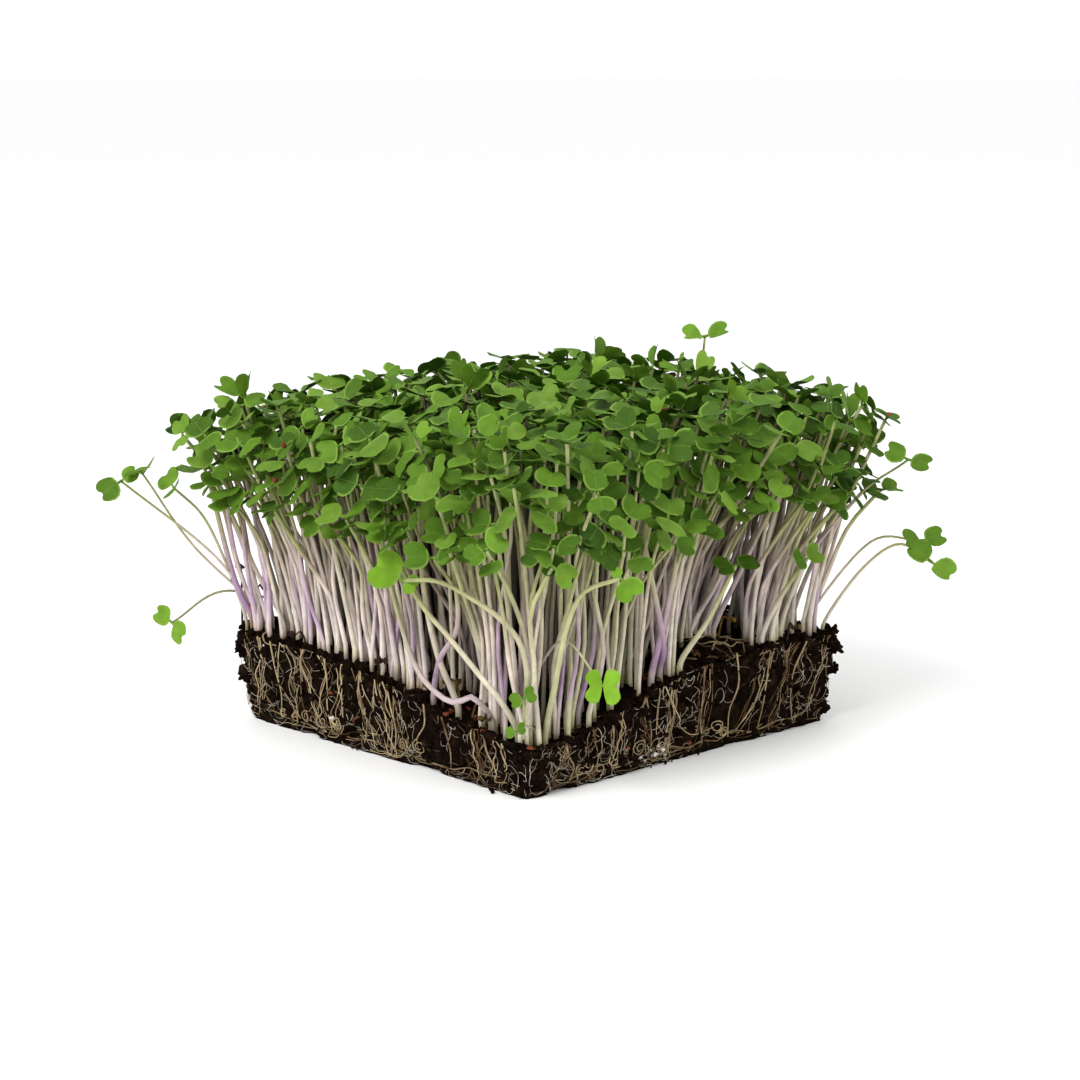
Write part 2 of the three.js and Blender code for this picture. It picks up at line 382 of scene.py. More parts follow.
class Finish:
    """A material in the making."""

    def __init__(self, name, **sockets):
        self.material = bpy.data.materials.new(name)
        self.material.use_nodes = True
        self.nodes, self.links = self.material.node_tree.nodes, self.material.node_tree.links
        self.shader = self.nodes["Principled BSDF"]
        for socket, value in sockets.items():
            self.shader.inputs[socket.replace("_", " ")].default_value = value

    def feed(self, socket, value):
        """Sets a socket to a number or a colour, or links another node's output to it."""
        if isinstance(value, tuple):
            socket.default_value = (*value, 1)
        elif isinstance(value, (int, float)):
            socket.default_value = value
        else:
            self.links.new(value, socket)

    def mark(self, name):
        """The number that the points of the piece carry under this name."""
        node = self.nodes.new("ShaderNodeAttribute")
        node.attribute_name = name
        return node.outputs["Fac"]

    def noise(self, scale, detail=4.0, roughness=0.55):
        place = self.nodes.new("ShaderNodeTexCoord")
        node = self.nodes.new("ShaderNodeTexNoise")
        node.inputs["Scale"].default_value = scale
        node.inputs["Detail"].default_value = detail
        node.inputs["Roughness"].default_value = roughness
        self.links.new(place.outputs["Object"], node.inputs["Vector"])
        return node.outputs["Fac"]

    def sums(self, operation, *values):
        node = self.nodes.new("ShaderNodeMath")
        node.operation = operation
        for socket, value in zip(node.inputs, values):
            self.feed(socket, value)
        return node.outputs[0]

    def mix(self, amount, a, b, mode="MIX"):
        node = self.nodes.new("ShaderNodeMix")
        node.data_type = "RGBA"
        node.blend_type = mode
        for socket, value in ((node.inputs[0], amount), (node.inputs[6], a), (node.inputs[7], b)):
            self.feed(socket, value)
        return node.outputs[2]

    def ramp(self, amount, stops):
        node = self.nodes.new("ShaderNodeValToRGB")
        elements = node.color_ramp.elements
        while len(elements) < len(stops):
            elements.new(0.5)
        for element, (at, shade) in zip(elements, stops):
            element.position = at
            element.color = (*shade, 1) if isinstance(shade, tuple) else (shade, shade, shade, 1)
        self.links.new(amount, node.inputs[0])
        return node.outputs[0]

    def done(self, colour, height, distance, strength=1.0):
        """Gives the surface its colour and its bumps, up to distance metres high."""
        self.links.new(colour, self.shader.inputs["Base Color"])
        node = self.nodes.new("ShaderNodeBump")
        node.inputs["Distance"].default_value = distance
        node.inputs["Strength"].default_value = strength
        self.links.new(height, node.inputs["Height"])
        self.links.new(node.outputs[0], self.shader.inputs["Normal"])
        return self.material


def leaf_finish():
    """Seed leaves: deep green, paler veins, a thin pale rim that is partly the leaf's own paler edge and
    partly a painted rim highlight, some younger and yellower than others, and low inner ones darker by
    painted shade.
    """
    f = Finish("seed_leaf", Roughness=0.6, Specular_IOR_Level=0.08)
    across = f.sums("ABSOLUTE", f.mark("blade_y"))
    cloudy = f.noise(260, 3)
    # Each leaf's tone is drawn at random, and lowered on low inner leaves as painted shade of the canopy
    # above.
    green = f.ramp(f.mark("tone"), [
        (0.0, (0.026, 0.066, 0.006)), (0.5, (0.069, 0.150, 0.012)), (1.0, (0.134, 0.238, 0.030)),
    ])
    green = f.mix(f.mark("lime"), green, (0.18, 0.36, 0.022))
    green = f.mix(1.0, green, f.ramp(cloudy, [(0.3, 0.80), (0.7, 1.12)]), "MULTIPLY")
    # The side veins slant forward from the midrib.
    slant = f.sums("SUBTRACT", f.mark("blade_x"), f.sums("MULTIPLY", across, 0.75))
    beat = f.sums("FRACT", f.sums("MULTIPLY", slant, 0.62))
    off_vein = f.sums("ABSOLUTE", f.sums("SUBTRACT", beat, 0.5))
    side_vein = f.sums("MULTIPLY", f.sums("LESS_THAN", off_vein, 0.05), 0.08)
    midrib = f.sums("MULTIPLY", f.sums("LESS_THAN", across, 0.14), 0.32)
    veins = f.sums("MAXIMUM", side_vein, midrib)
    green = f.mix(veins, green, (0.17, 0.27, 0.06))
    # The pale rim is partly the leaf's own paler edge and partly a painted rim highlight.
    rim = f.ramp(f.mark("rim"), [(0.80, 0.0), (0.97, 0.75)])
    green = f.mix(rim, green, (0.20, 0.33, 0.055))
    return f.done(green, f.sums("SUBTRACT", cloudy, veins), 0.00018, 0.7)


def stem_finish():
    """Stems: cream, flushed lilac low down on some, pale green under the leaves and darkened near them by
    painted shade of the canopy, and darkened by painted shade further inside the stand.
    """
    f = Finish("seedling_stem", Roughness=0.5, Specular_IOR_Level=0.2)
    rise = f.mark("rise")
    streaks = f.noise(420, 3)
    # Up the stem the colour goes from a tan collar to cream, then green below the leaves; the dark olive at
    # the top is partly the stem's own green and partly painted shade of the canopy.
    body = f.ramp(rise, [
        (0.0, (0.44, 0.33, 0.18)), (0.14, (0.76, 0.69, 0.61)), (0.5, (0.66, 0.56, 0.45)),
        (0.74, (0.40, 0.38, 0.17)), (1.0, (0.17, 0.23, 0.05)),
    ])
    body = f.mix(f.mark("fresh"), body, (0.48, 0.49, 0.24))
    flush = f.ramp(rise, [(0.02, 0.2), (0.22, 1.0), (0.45, 0.75), (0.85, 0.0)])
    body = f.mix(f.sums("MULTIPLY", flush, f.mark("lilac")), body, (0.37, 0.20, 0.42))
    body = f.mix(1.0, body, f.ramp(streaks, [(0.3, 0.82), (0.7, 1.08)]), "MULTIPLY")
    # Stems that stand further inside the block are darkened towards a dull brown: painted shade of the stand
    # around them.
    painted_shade_amount = f.sums("MULTIPLY", f.mark("painted_inner_shade"), 0.8)
    return f.done(f.mix(painted_shade_amount, body, (0.095, 0.068, 0.042)), streaks, 0.00012, 0.5)


def soil_finish():
    """Moist growing mix: near black, with brown fibres and a rough, clotted surface."""
    f = Finish("growing_mix", Roughness=0.9, Specular_IOR_Level=0.02)
    coarse, fine = f.noise(320, 6, 0.7), f.noise(1500, 4, 0.65)
    dirt = f.ramp(coarse, [
        (0.32, (0.0022, 0.0012, 0.0008)), (0.50, (0.0075, 0.0040, 0.0024)),
        (0.64, (0.024, 0.013, 0.0075)), (0.78, (0.080, 0.047, 0.026)),
    ])
    dirt = f.mix(f.sums("MULTIPLY", fine, 0.3), dirt, (0.014, 0.0075, 0.004))
    return f.done(dirt, f.sums("ADD", coarse, fine), 0.0010)


def speckled(name, dark, light, scale, roughness, bump, mark=None):
    """Speckled between two shades; with a mark, each strand's own number shifts it between them."""
    f = Finish(name, Roughness=roughness, Specular_IOR_Level=0.15)
    speckle = f.noise(scale)
    shade = speckle
    if mark:
        own = f.sums("SUBTRACT", f.mark(mark), 0.5)
        shade = f.sums("ADD", speckle, f.sums("MULTIPLY", own, 0.55))
    return f.done(f.ramp(shade, [(0.25, dark), (0.75, light)]), speckle, bump, 0.8)


LEAF = leaf_finish()
STEM = stem_finish()
SOIL = soil_finish()
ROOT = speckled("root", (0.085, 0.040, 0.014), (0.48, 0.37, 0.21), 240, 0.7, 0.0002, "shade")
ROOT_HAIR = speckled("root_hair", (0.18, 0.13, 0.08), (0.66, 0.60, 0.48), 200, 0.65, 0.0001, "shade")
SEED_COAT = speckled("seed_coat", (0.075, 0.014, 0.007), (0.21, 0.050, 0.020), 700, 0.5, 0.0002)
PERLITE = speckled("perlite", (0.55, 0.53, 0.48), (0.84, 0.83, 0.80), 600, 0.85, 0.0003)
BARK = speckled("bark_crumb", (0.022, 0.011, 0.006), (0.115, 0.062, 0.030), 420, 0.9, 0.0004)
WILTED = speckled("wilted_seedling", (0.020, 0.008, 0.006), (0.26, 0.15, 0.022), 380, 0.6, 0.0002, "shade")

# The growing mix.


BITES = Vector((4.3, 1.7, 8.1))

# White grains at the foot of the east face: along it, height and size.
PERLITE_CLUSTER = [
    (-13, 3.0, 0.9), (-16.5, 2.2, 0.5), (-10, 4.2, 0.8), (-6.5, 4.4, 0.5), (-8.5, 2.6, 0.45),
    (-11.5, 5.3, 0.45), (-14.4, 4.6, 0.4), (-18.5, 3.4, 0.5), (-9.2, 5.6, 0.35),
]


# Clods that stand out at the corners: the side they are on, along it, height and size.
CORNER_CLODS = [
    (1, 58.5, 21.5, 2.2), (1, 60.0, 15.0, 1.9), (1, 55.0, 23.0, 1.8), (0, -58.5, 20.0, 2.0),
    (0, -59.5, 11.5, 1.6), (0, -56.0, 23.5, 1.7), (0, 57.0, 11.0, 1.7), (1, -56.0, 9.5, 1.9),
    (2, 57.0, 20.0, 1.9), (3, 58.0, 14.0, 1.8),
]


def clots(p, size):
    """Rounded clots of mix about size across: 0 in the cracks, 1 on top of a clot."""
    nearest = noise.voronoi(p / size)[0][0]
    return clamp(1 - 1.5 * nearest)


def eaten(p):
    """How far the mix has crumbled back from its moulded face at a point."""
    wide = 0.5 + 0.5 * noise.noise(p / 17)
    lumps = 0.62 * clots(p, 5.2) + 0.38 * clots(p, 2.4)
    bite = clamp(2.6 * noise.noise(p / 8.5 + BITES) - 0.45)
    return 0.6 * wide + 1.5 * (1 - lumps) + 2.8 * bite - 0.3


def soil_point(u, v, up, worn=1):
    """A point on the block: u and v across from -1 to 1, up from 0 at the foot to 1 at the top."""
    x, y = u * SIDE / 2, v * SIDE / 2
    z = up * soil_height(x, y)
    straight = SIDE / 2 - CORNER
    cx, cy = clamp(x, -straight, straight), clamp(y, -straight, straight)
    out = hypot(x - cx, y - cy)
    rounded = CORNER / out if out > CORNER else 1
    p = Vector((cx + (x - cx) * rounded, cy + (y - cy) * rounded, z))
    edge = max(abs(u), abs(v))
    near_edge = clamp((edge - 0.88) / 0.12)
    back = worn * eaten(p) * near_edge ** 2 if edge > 0.88 else 0
    scale = (face_plane(z) - back) / (SIDE / 2)
    p.x, p.y = p.x * scale, p.y * scale
    if up > 0.999:
        lumps = 0.6 * clots(p, 5.5) + 0.4 * clots(p, 2.6)
        sag = (1.2 + 1.6 * clots(p, 9)) * max(0, (edge - 0.91) / 0.09) ** 2
        p.z += 2.4 * (lumps - 0.5) + 1.2 * noise.noise(p / 11) + 0.5 * noise.noise(p / 1.9) - sag
    elif up > 0.001:
        p.z += 0.35 * noise.noise(p / 2.1)
    return p


# The mesh of the mix is about a millimetre fine all over.
CUTS_UP = 22
CUTS_ACROSS = 109


def make_soil():
    bm = bmesh.new()
    bmesh.ops.create_cube(bm, size=2)
    upright = [e for e in bm.edges if abs(e.verts[0].co.z - e.verts[1].co.z) > 1]
    bmesh.ops.subdivide_edges(bm, edges=upright, cuts=CUTS_UP, use_grid_fill=True)
    level = [e for e in bm.edges if abs(e.verts[0].co.z - e.verts[1].co.z) < 0.01]
    bmesh.ops.subdivide_edges(bm, edges=level, cuts=CUTS_ACROSS, use_grid_fill=True)
    for v in bm.verts:
        v.co = soil_point(v.co.x, v.co.y, (v.co.z + 1) / 2)
    finish_piece(smoothed(bm), "growing_mix", SOIL, ["soil"])


def face_point(turn, along, height, out, worn=1):
    """A point out from the crumbled side face that looks down -Y once turned back by turn."""
    spun = turned(turn) @ Vector((along, -face_plane(height), height))
    p = turned(turn) @ Vector((2 * along / SIDE, -1, 0))
    surface = soil_point(p.x, p.y, clamp(height / soil_height(spun.x, spun.y), 0, 0.99), worn)
    return surface + turned(turn) @ Vector((0, -1, 0)) * out


def face_top(turn, along):
    p = turned(turn) @ Vector((along, -58, 0))
    return soil_height(p.x, p.y)


def tumble(n):
    return Matrix.Rotation(pi * draw(n, 71), 3, "X") @ turned(pi * draw(n, 72))


def scatter(bm, pattern, n, at, size, squash=(1, 1, 1), marks=None):
    turn = tumble(n)

    def place(co):
        p = at + turn @ Vector((co.x * squash[0], co.y * squash[1], co.z * squash[2])) * size
        p.z = max(p.z, 0)
        return p

    copy_into(bm, pattern, place, marks)


def on_block(n, share_top):
    """A place on the block's faces or top for item n."""
    if even(n, 61) < share_top:
        return soil_point(0.97 * draw(n, 62), 0.97 * draw(n, 63), 1)
    side = int(2 * (draw(n, 64) + 1)) % 4
    return face_point(side * pi / 2, 61 * draw(n, 65), 1 + 11 * (draw(n, 66) + 1), 0.1)


def on_rim(n):
    """A place on the upper edge of the mix for item n."""
    turn, along = (n % 4) * pi / 2, 60.5 * draw(n, 114)
    height = face_top(turn, along) - 0.6 + 0.8 * draw(n, 115)
    return face_point(turn, along, height, -0.7 + 0.9 * draw(n, 116))


def on_table(n):
    """A place on the table at the foot of the mix for item n."""
    out = face_plane(0) + 0.2 + 1.2 * seldom(n, 65)
    return turned((n % 4) * pi / 2) @ Vector((58 * draw(n, 64), -out, 0.5))


def make_crumbs():
    grain = grain_pattern(1, "crumb_grain", 0.5)
    lump = grain_pattern(2, "clod", 0.8)
    clod = grain_pattern(3, "corner_clod", 1.0)
    crumbs = new_piece()
    for n in CRUMBS:
        size = 0.35 + 0.75 * seldom(n, 67) + (0.6 if n % 19 == 0 else 0)
        scatter(crumbs, grain, n, on_block(n, 0.25), size, (1, 0.8, 0.7))
    for n in CLODS:
        scatter(crumbs, lump, n, on_block(n, 0.3), 1.1 + 0.9 * abs(draw(n, 67)), (1, 0.9, 0.75))
    for n in RIM_CLODS:
        scatter(crumbs, lump, n, on_rim(n), 0.9 + 1.3 * seldom(n, 67), (1, 0.85, 0.75))
    for n in FALLEN_CRUMBS:
        scatter(crumbs, grain, n, on_table(n), 0.35 + 0.5 * seldom(n, 67), (1, 0.8, 0.7))
    for n, (side, along, height, size) in enumerate(CORNER_CLODS):
        at = face_point(side * pi / 2, along, height, 0.2)
        scatter(crumbs, clod, 5600 + n, at, size, (1.1, 0.8, 0.7))
    finish_piece(crumbs, "soil_crumbs", SOIL)
    bark = new_piece()
    for n in BARK_CHIPS:
        scatter(bark, grain, n, on_block(n, 0.45), 0.7, (1.0 + 1.3 * abs(draw(n, 68)), 0.55, 0.3))
    finish_piece(bark, "bark_crumbs", BARK)
    white = grain_pattern(2, "perlite_grain", 1.1)
    perlite = new_piece()
    for n in PERLITE_GRAINS:
        scatter(perlite, white, n, on_block(n, 0.35), 0.35 + 0.5 * seldom(n, 69))
    for n, (along, height, size) in enumerate(PERLITE_CLUSTER):
        at = face_point(pi / 2, along, height, 0.2)
        scatter(perlite, white, 3200 + n, at, size, (1.3, 0.9, 0.7))
    finish_piece(perlite, "perlite_grains", PERLITE)


def make_hulls(leaf_spots):
    cup = hull_pattern()
    whole = grain_pattern(1, "whole_seed", 0.06)
    hulls = new_piece()
    for n in LOOSE_COATS:
        at = on_block(n, 0.85)
        at.z += 0.6
        scatter(hulls, cup if n % 3 else whole, n, at, 0.82 + 0.2 * draw(n, 70), (1, 1, 0.9))
    for n, at in enumerate(leaf_spots):
        scatter(hulls, cup, 4200 + n, at, 0.85)
    finish_piece(hulls, "seed_coats", SEED_COAT)


# Roots on the faces.

FACES = ["south", "east", "north", "west"]

# The stretch of each face where hardly any root shows.
BALD = [(17, 38), (6, 28), (-30, -12), (-8, 12)]

# No root lies further along a face than this.
FACE_END = SIDE / 2 - 0.3


def on_face(along):
    return clamp(along, -FACE_END, FACE_END)


def pressed(turn, along, height, out, n):
    """Where a root that was pressed on the tray's wall lies: not further in than the mould's face."""
    held = face_point(turn, along, height, 0.1, 0)
    return face_point(turn, along, height, out).lerp(held, 0.25 + 0.25 * draw(n, 80))


def add_model_roots(bm, side):
    """The roots of the model: one that runs along the foot of the face, and eight that drop to it."""
    turn, reach, first = side * pi / 2, SIDE / 2 - CORNER - 7, 500 * (side + 1)
    line = []
    for i in range(17):
        line.append(pressed(turn, reach * (i / 8 - 1), 3.2 + 1.1 * draw(i, 20 + side), -0.1, i))
    lay_tube(bm, RUNNER, line, lambda t: 0.21, {"shade": 0.3})
    for i in range(8):
        along = reach * ((2 * i + 1) / 8 - 1) + 2.4 * draw(i, 30 + side)
        top = face_top(turn, along) - 0.8
        line = []
        for k, height in enumerate([top, 0.65 * top + 1, 0.35 * top + 1.5, 2.8]):
            line.append(pressed(turn, along + 2.2 * draw(4 * i + k, 40 + side), height, 0.4, i + k))
        shade = {"shade": 0.5 + 0.3 * draw(first + i, 79)}
        lay_tube(bm, STRAND, line, lambda t: 0.28 - 0.14 * t, shade)


def add_bundles(bm, side, bundles=14):
    """Roots that hang in bundles, each bundle with a lean and each root with a sway of its own."""
    turn, first = side * pi / 2, 500 * (side + 1) + 20
    for bundle in range(bundles):
        b = first + bundle
        middle = (FACE_END - 2) * ((2 * bundle + 1) / bundles - 1) + 3.5 * draw(b, 81)
        lean = 9 * draw(b, 82)
        if BALD[side][0] < middle < BALD[side][1]:
            continue
        for i in range(3 + bundle % 4):
            n = first + 20 + 7 * bundle + i
            along = on_face(middle + 2.6 * draw(n, 83))
            top = face_top(turn, along) - 0.4
            foot = 1.3 + 5 * seldom(n, 84)
            line, sway = [], 0.0
            for k in range(7):
                part = k / 6
                sway += 1.7 * draw(8 * n + k, 85)
                drawn_in = (middle - along) * 0.6 * part
                x = on_face(along + drawn_in + lean * part * part + sway)
                out = 0.35 + 0.35 * draw(8 * n + k, 86)
                line.append(pressed(turn, x, top + (foot - top) * part, out, n + k))
            if i % 2 == 0:
                # Every second one turns and runs on along the foot.
                heading = 1 if draw(n, 87) > 0 else -1
                for k in range(1, 4):
                    x = on_face(along + lean + sway + heading * 3.6 * k)
                    line.append(pressed(turn, x, foot + 0.8 * draw(8 * n + k, 88), 0.4, n + k))
            thick = 0.10 + 0.14 * seldom(n, 89)
            shade = {"shade": clamp(0.5 + 0.8 * draw(n, 90))}
            lay_tube(bm, STRAND, line, lambda t: thick * (1 - 0.6 * t), shade)


def add_coils(bm, side, coils=12):
    """Roots that coil near the foot."""
    for n in range(500 * (side + 1) + 160, 500 * (side + 1) + 160 + coils):
        middle = 34 * draw(n, 91) - 14
        size, turns = 1.3 + 1.0 * abs(draw(n, 92)), 1.4 + 0.6 * draw(n, 93)
        rise = 3.2 + 3.5 * abs(draw(n, 94))
        line = []
        for k in range(14):
            angle = 2 * pi * turns * k / 13 + n
            r = size * (1 - 0.055 * k)
            height = clamp(rise + r * sin(angle), 0.7, 14)
            x = on_face(middle + 1.2 * r * cos(angle))
            line.append(face_point(side * pi / 2, x, height, 0.6 + 0.03 * k))
        shade = {"shade": 0.7 + 0.3 * draw(n, 95)}
        lay_tube(bm, STRAND, line, lambda t: 0.17 * (1 - 0.3 * t), shade)


def add_hairs(bm, side, hairs=240):
    turn, first = side * pi / 2, 500 * (side + 1) + 200
    for i in range(hairs):
        n = first + i
        along = FACE_END * draw(n, 96)
        if BALD[side][0] < along < BALD[side][1] and i % 3:
            continue
        top = face_top(turn, along)
        height = 1 + (top - 2) * even(n, 97)
        angle = -pi / 2 + 1.5 * draw(n, 98)
        turning = 0.9 * draw(n, 99)
        stride = 1.3 + 0.7 * draw(n, 100)
        line = []
        for k in range(6):
            out = 0.25 + 0.45 * abs(draw(8 * n + k, 101))
            x = on_face(along)
            line.append(face_point(turn, x, clamp(height, 0.6, top - 0.3), out))
            angle += turning + 0.6 * draw(8 * n + k, 102)
            along += stride * cos(angle)
            height += stride * sin(angle)
        lay_tube(bm, HAIR, line, lambda t: 0.075 - 0.035 * t, {"shade": even(n, 103)})


def make_roots():
    for side, name in enumerate(FACES):
        roots, hairs = new_piece("shade"), new_piece("shade")
        add_model_roots(roots, side)
        add_bundles(roots, side)
        add_coils(roots, side)
        add_hairs(hairs, side)
        finish_piece(roots, "face_roots_" + name, ROOT, ["roots_" + name])
        finish_piece(hairs, "root_hairs_" + name, ROOT_HAIR)


# Where a bare root leaves the ground, and the way it heads in degrees.
SURFACE_ROOTS = [
    (46, 4, 20), (47, 10, -15), (45, 16, 10), (48, 22, 35), (50, 27, -30), (52, 2, 60), (44, 12, 70),
    (50, -8, -20), (47, 19, -50), (55, 12, 95), (54, -50, -60), (48, -46, -20), (57, -38, -80),
    (44, -55, -35), (36, -56, -70), (57, -28, -100), (30, -54, -110), (57, 30, 40), (-50, -56, -80),
]


def make_surface_roots():
    """Roots laid bare on the ground where nothing came up, and on the slumped corner."""
    roots = new_piece("shade")
    for i, (x, y, heading) in enumerate(SURFACE_ROOTS):
        angle, line = radians(heading), []
        for k in range(9):
            u, v = clamp(2 * x / SIDE, -1, 1), clamp(2 * y / SIDE, -1, 1)
            bare = soil_point(u, v, 1)
            arch = 1.5 * sin(pi * k / 8) * abs(draw(i, 104))
            line.append(bare + UP * (0.1 + arch + 0.3 * draw(8 * i + k, 105)))
            angle += 0.55 * draw(8 * i + k, 106)
            x += 2.4 * cos(angle)
            y += 2.4 * sin(angle)
        thick = 0.16 + 0.16 * abs(draw(i, 107))
        shade = {"shade": 0.40 + 0.35 * draw(i, 108)}
        lay_tube(roots, STRAND, line, lambda t: thick * (1 - 0.5 * t), shade)
    finish_piece(roots, "surface_roots", ROOT)


# The seedlings.


def half_row(row, west):
    return "%02d_%s" % (row + 1, "west" if west else "east")


def plot(row, col):
    """The middle of a seedling's plot; every second row is set off by half a plot."""
    shift = PITCH / 4 if row % 2 else -PITCH / 4
    return (col - (PER_ROW - 1) / 2) * PITCH + shift, (row - (ROWS - 1) / 2) * ROW_PITCH


def crown_level(x, y):
    """The middle storey of the canopy over a place."""
    return CROWN_HEIGHT - DOME * (hypot(x, y) / BLOCK_REACH) ** 2 + CANOPY_RISE * y


def model_seedling(row, col):
    """A seedling of the model, at the same root and crown."""
    n = row * PER_ROW + col
    across, line = plot(row, col)
    standing = across + ROOT_JITTER["along"] * draw(n, 1)
    x = standing * row_reach(line) if standing > 0 else standing
    y = line + ROOT_JITTER["across"] * draw(n, 2)
    crown_x = SPREAD * across + CROWN_SHIFT + CROWN_JITTER * draw(n, 3)
    crown_y = SPREAD * line + CROWN_SHIFT + CROWN_JITTER * draw(n, 4)
    storey = (col + (2 if row % 2 else 0)) % 3 - 1
    crown = Vector((crown_x, crown_y, crown_level(crown_x, crown_y) + STOREY * storey))
    lean, way = sin(radians(LEAF_TILT)) * draw(n, 12), pi * draw(n, 13)
    seedling = dict(
        n=n, root=ground(x, y), crown=crown,
        faces=Vector((lean * cos(way), lean * sin(way), 1)).normalized(),
        points=toward(pi * draw(n, 11)), size=0.95 + 0.04 * draw(n, 40),
        lime=0.12 + 0.12 * draw(n, 14), group=half_row(row, col < PER_ROW // 2),
    )
    if (row, col) in STRAYS:
        seedling.update({"notch": 0.10, **STRAYS[row, col]})
        for key in ("crown", "faces", "points"):
            seedling[key] = Vector(seedling[key])
        seedling["faces"].normalize()
    return seedling


def leaf_middles(seedling):
    """The middle and the way up of each of the two seed leaves, to keep neighbours apart."""
    across = seedling["faces"].cross(seedling["points"]).normalized()
    ahead = across.cross(seedling["faces"])
    reach = 5.0 * seedling["size"]
    above = seedling["crown"] + seedling["faces"] * 0.9
    return [(above + ahead * reach * sense, seedling["faces"]) for sense in (1, -1)]


class Crowding:
    """Remembers where leaves and stems are, and says how badly a new pair of leaves would cross them."""

    cell = 8.0

    def __init__(self):
        self.leaves = {}
        self.stems = {}

    def key(self, p):
        return (floor(p.x / self.cell), floor(p.y / self.cell), floor(p.z / self.cell))

    def around(self, store, p):
        i, j, k = self.key(p)
        for a in (i - 1, i, i + 1):
            for b in (j - 1, j, j + 1):
                for c in (k - 1, k, k + 1):
                    yield from store.get((a, b, c), ())

    def add(self, seedling):
        for middle, faces in leaf_middles(seedling):
            self.leaves.setdefault(self.key(middle), []).append((middle, faces))
        for p in smooth_line(stem_line(seedling), 10)[3:-2]:
            self.stems.setdefault(self.key(p), []).append(p)

    def crossing(self, seedling):
        worst = 0.0
        for middle, faces in leaf_middles(seedling):
            for other, others_face in self.around(self.leaves, middle):
                gap = other - middle
                if gap.length < 7.4:
                    apart = min(abs(gap.dot(faces)), abs(gap.dot(others_face)))
                    if apart < 1.3:
                        worst += (7.6 - gap.length) * (1.5 - apart)
            for p in self.around(self.stems, middle):
                gap = p - middle
                away = abs(gap.dot(faces))
                if away < 2.2 and (gap - faces * gap.dot(faces)).length < 4.3:
                    worst += 2.5
        return worst


def stem_line(seedling):
    """The points that a stem goes through, from under the soil to the crown."""
    n, root, crown = seedling["n"], seedling["root"], seedling["crown"]
    foot = Vector((root.x, root.y, root.z - 3))
    top = crown - seedling["faces"] * 0.5
    if "bends" in seedling:
        return [foot, Vector((root.x, root.y, root.z + 3)), *[Vector(b) for b in seedling["bends"]], top]
    collar = Vector((root.x + 0.4 * draw(n, 15), root.y + 0.4 * draw(n, 16), root.z + 3))
    if n < FIRST_FILLER:
        middle = collar.lerp(top, 0.5)
        middle.x += 1.6 * draw(n, 5) - 0.02 * middle.x
        middle.y += 1.6 * draw(n, 6) - 0.02 * middle.y
        return [foot, collar, middle, top]
    # It rises nearly upright and leans out higher up.
    lean = Vector((top.x - collar.x, top.y - collar.y, 0))
    low = collar.lerp(top, 0.34) - 0.14 * lean + 2.6 * Vector((draw(n, 5), draw(n, 6), 0))
    high = collar.lerp(top, 0.72) - 0.13 * lean + 2.2 * Vector((draw(n, 7), draw(n, 8), 0))
    return [foot, collar, low, high, top]


def clear_ground(x, y):
    """Moves a root aside from the lane on the east side and the gap on the south side."""
    angle = radians(LANE["heading"])
    dx, dy = x - LANE["x"], y - LANE["y"]
    inward = dx * cos(angle) + dy * sin(angle)
    off = dy * cos(angle) - dx * sin(angle)
    if abs(off) < LANE["half"] and inward < LANE["long"]:
        aside = copysign(LANE["half"] - abs(off), off)
        x -= aside * sin(angle)
        y += aside * cos(angle)
    away = hypot((x - GAP["x"]) / GAP["reach_x"], (y - GAP["y"]) / GAP["reach_y"])
    if away < 1:
        x = GAP["x"] + (x - GAP["x"]) / max(away, 0.1)
        y = GAP["y"] + (y - GAP["y"]) / max(away, 0.1)
    return clamp(x, -EDGE, EDGE), clamp(y, -EDGE, EDGE)


def best_of(crowding, trials, tries):
    """The first trial pair of leaves that crosses no other, or else the one that crosses least."""
    best, least = None, 1e9
    for k in range(tries):
        trial = trials(k)
        cost = crowding.crossing(trial) + 0.1 * k
        if cost < least:
            best, least = trial, cost
        if cost < 0.1 * k + 0.01:
            break
    return best


def off_corner(x, y):
    """How far round the outside of a corner a root would stand."""
    return hypot(max(0, abs(x) - 50), max(0, abs(y) - 50))


